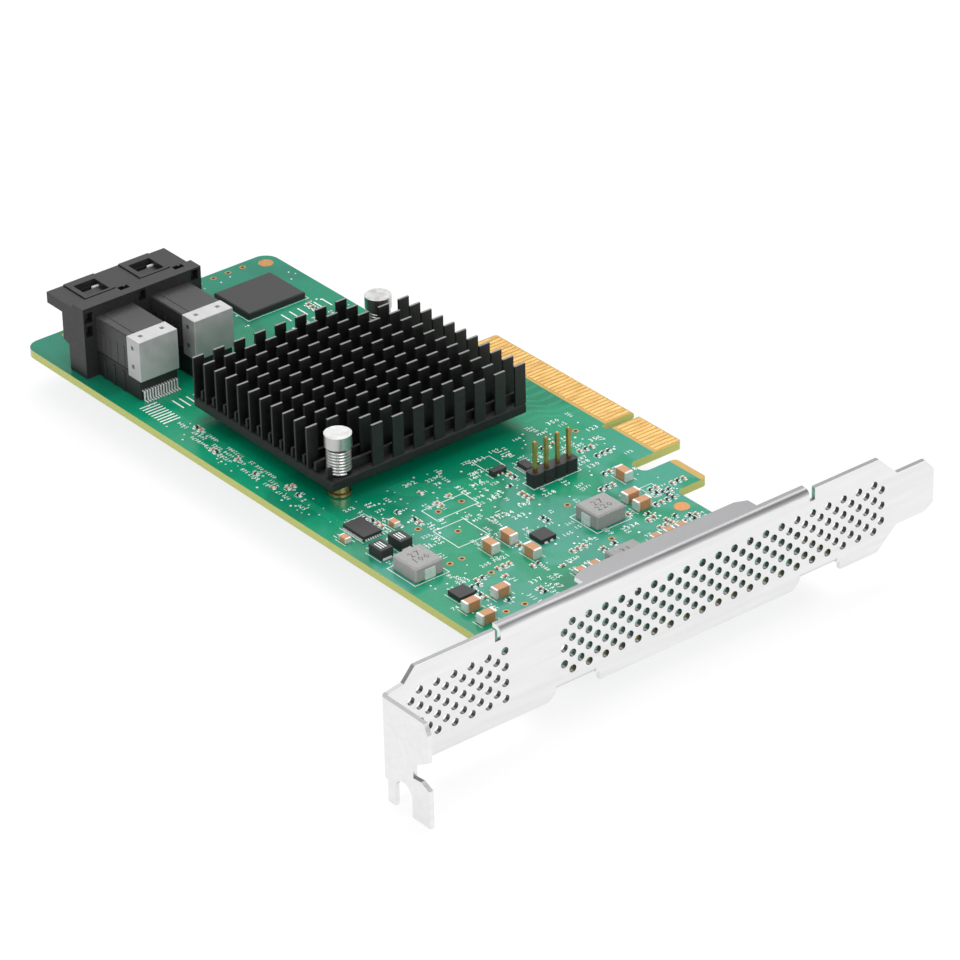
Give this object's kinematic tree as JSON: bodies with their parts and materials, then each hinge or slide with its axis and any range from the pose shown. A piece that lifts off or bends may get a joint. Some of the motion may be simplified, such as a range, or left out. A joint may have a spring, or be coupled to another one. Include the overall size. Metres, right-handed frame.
{
  "type": "raid controller card",
  "caption": "Low-profile storage controller board with a keyed edge connector, finned heatsink on sprung pins, twin cable ports and a vented full-height bracket.",
  "frame": {"origin": "middle of the keying notch on the outer edge of the edge connector, in the middle of the board's thickness", "axes": "+X out through the bracket, +Y out of the edge connector into its slot, +Z out of the component side"},
  "size_m": [0.1634, 0.12, 0.0226],
  "materials": {
    "laminate": "semi-gloss green solder mask over glass-epoxy laminate",
    "gold_plating": "polished gold plating",
    "bracket_steel": "satin nickel plate",
    "screw_steel": "bright zinc plate",
    "black_epoxy": "matt moulded epoxy",
    "thermal_rubber": "soft matt",
    "black_aluminium": "black anodised, bare where it was sawn",
    "pin_metal": "nickel plate",
    "spring_steel": "bright drawn wire",
    "black_nylon": "matt moulded",
    "grey_nylon": "matt moulded",
    "shield_steel": "bright tin plate",
    "tinned_copper": "tin plate",
    "grey_ferrite": "matt pressed powder",
    "ceramic": "matt fired ceramic with tinned ends"
  },
  "bodies": {
    "root": {"circuit_board": "laminate", "edge_contacts_top": "gold_plating", "edge_contacts_bottom": "gold_plating", "bracket": "bracket_steel", "bracket_screws": "screw_steel", "controller_chip": "black_epoxy", "thermal_pad": "thermal_rubber", "heatsink": "black_aluminium", "push_pin_1": "pin_metal", "push_pin_2": "pin_metal", "push_pin_spring_1": "spring_steel", "push_pin_spring_2": "spring_steel", "port_housing": "black_nylon", "port_body_1": "grey_nylon", "port_body_2": "grey_nylon", "port_shield_1": "shield_steel", "port_shield_2": "shield_steel", "port_tails_1": "tinned_copper", "port_tails_2": "tinned_copper", "flash_chip": "black_epoxy", "header_block": "black_nylon", "header_pins": "gold_plating", "inductor_1": "grey_ferrite", "inductor_2": "grey_ferrite", "inductor_3": "grey_ferrite", "inductor_terminals": "tinned_copper", "power_controller": "black_epoxy", "power_stages": "black_epoxy", "logic_chip": "black_epoxy", "transistor": "black_epoxy", "moulded_capacitors": "black_epoxy", "large_ceramic_capacitors": "ceramic", "small_ceramic_capacitors": "ceramic"}
  },
  "joints": []
}
